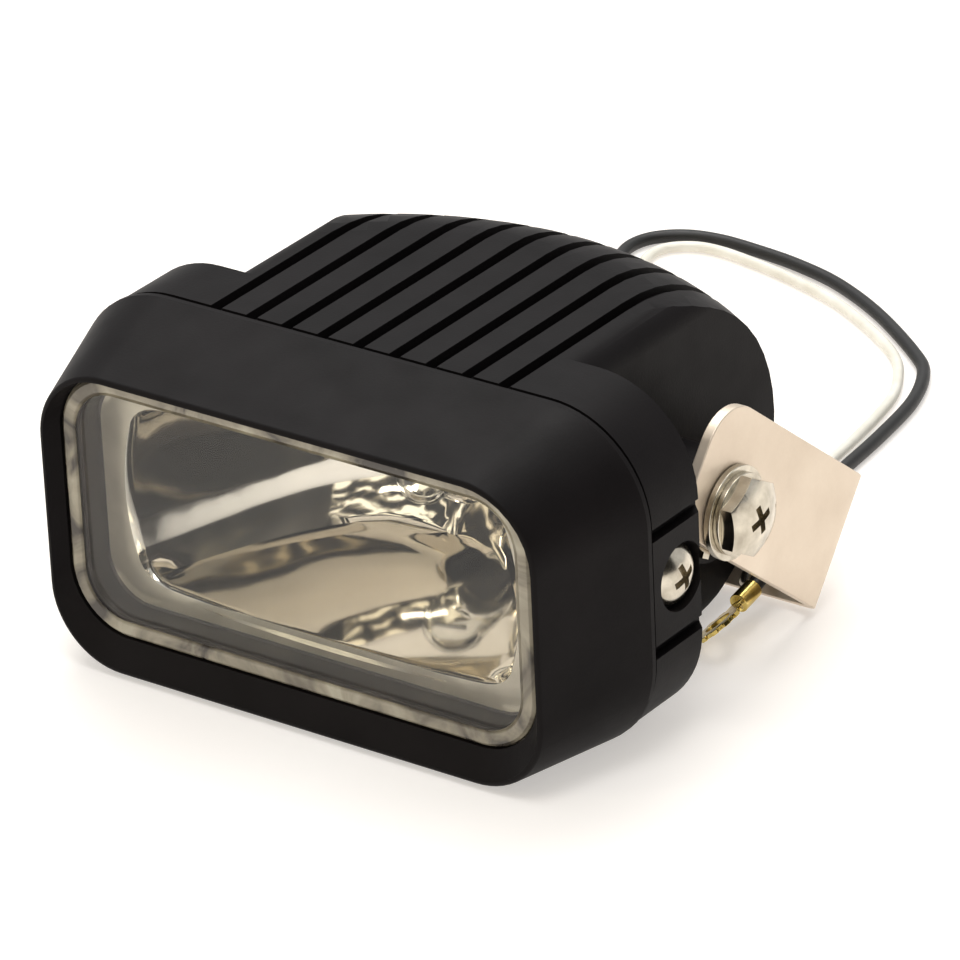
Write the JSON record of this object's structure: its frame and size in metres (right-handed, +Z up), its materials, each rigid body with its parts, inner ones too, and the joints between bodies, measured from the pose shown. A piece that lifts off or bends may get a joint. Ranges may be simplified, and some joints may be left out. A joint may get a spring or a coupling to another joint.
{
  "type": "fog light",
  "caption": "Rectangular halogen fog light with a flat lens, black finned housing, tilting U bracket and two free supply leads.",
  "frame": {"origin": "under the middle of the lamp and its bracket, at the height of the surface that the lamp lies on", "axes": "+Z up, the light shines towards -Y, +X to the lamp's left as it lies"},
  "size_m": [0.1226, 0.2033, 0.064],
  "materials": {
    "black_paint": "matte powder coat",
    "lens_glass": "clear, polished rim",
    "mirror_chrome": "vacuum-metallised, bright",
    "bare_steel": "satin rolled strip",
    "bright_zinc": "bright zinc plate",
    "yellow_zinc": "yellow passivated",
    "brass": "turned",
    "rubber": "matte",
    "black_pvc": "satin insulation",
    "white_pvc": "satin insulation",
    "clear_sleeve": "milky",
    "bulb_quartz": "clear",
    "tungsten": "dull"
  },
  "bodies": {
    "lamp": {"front_bezel": "black_paint", "lens": "lens_glass", "lens_gasket": "rubber", "reflector": "mirror_chrome", "reflector_screws": "bright_zinc", "rear_housing": "black_paint", "seam_gasket": "rubber", "side_screws": "bright_zinc", "threaded_inserts": "brass", "friction_washers": "bright_zinc", "flat_washers": "bright_zinc", "spring_washers": "bright_zinc", "pivot_bolts": "bright_zinc", "bulb_glass": "bulb_quartz", "bulb_filament": "tungsten", "bulb_base": "bright_zinc", "bulb_holder": "bright_zinc", "bulb_clip": "bright_zinc", "bulb_clip_screw": "bright_zinc", "bulb_terminal": "brass", "bulb_wire": "black_pvc", "earth_screw": "bright_zinc", "earth_tag": "brass", "earth_wire": "white_pvc", "cable_grommet": "rubber", "black_lead": "black_pvc", "white_lead": "white_pvc", "ring_terminal": "yellow_zinc", "bullet_sleeve": "clear_sleeve", "bullet_terminal": "bright_zinc"},
    "bracket": {"bracket": "bare_steel"}
  },
  "joints": [
    {"name": "bracket_pivot", "type": "hinge", "parent": "lamp", "child": "bracket", "pos_m": [0, 0.0043, 0.032], "axis": [-1, 0, 0], "range_deg": [0, 60]}
  ]
}
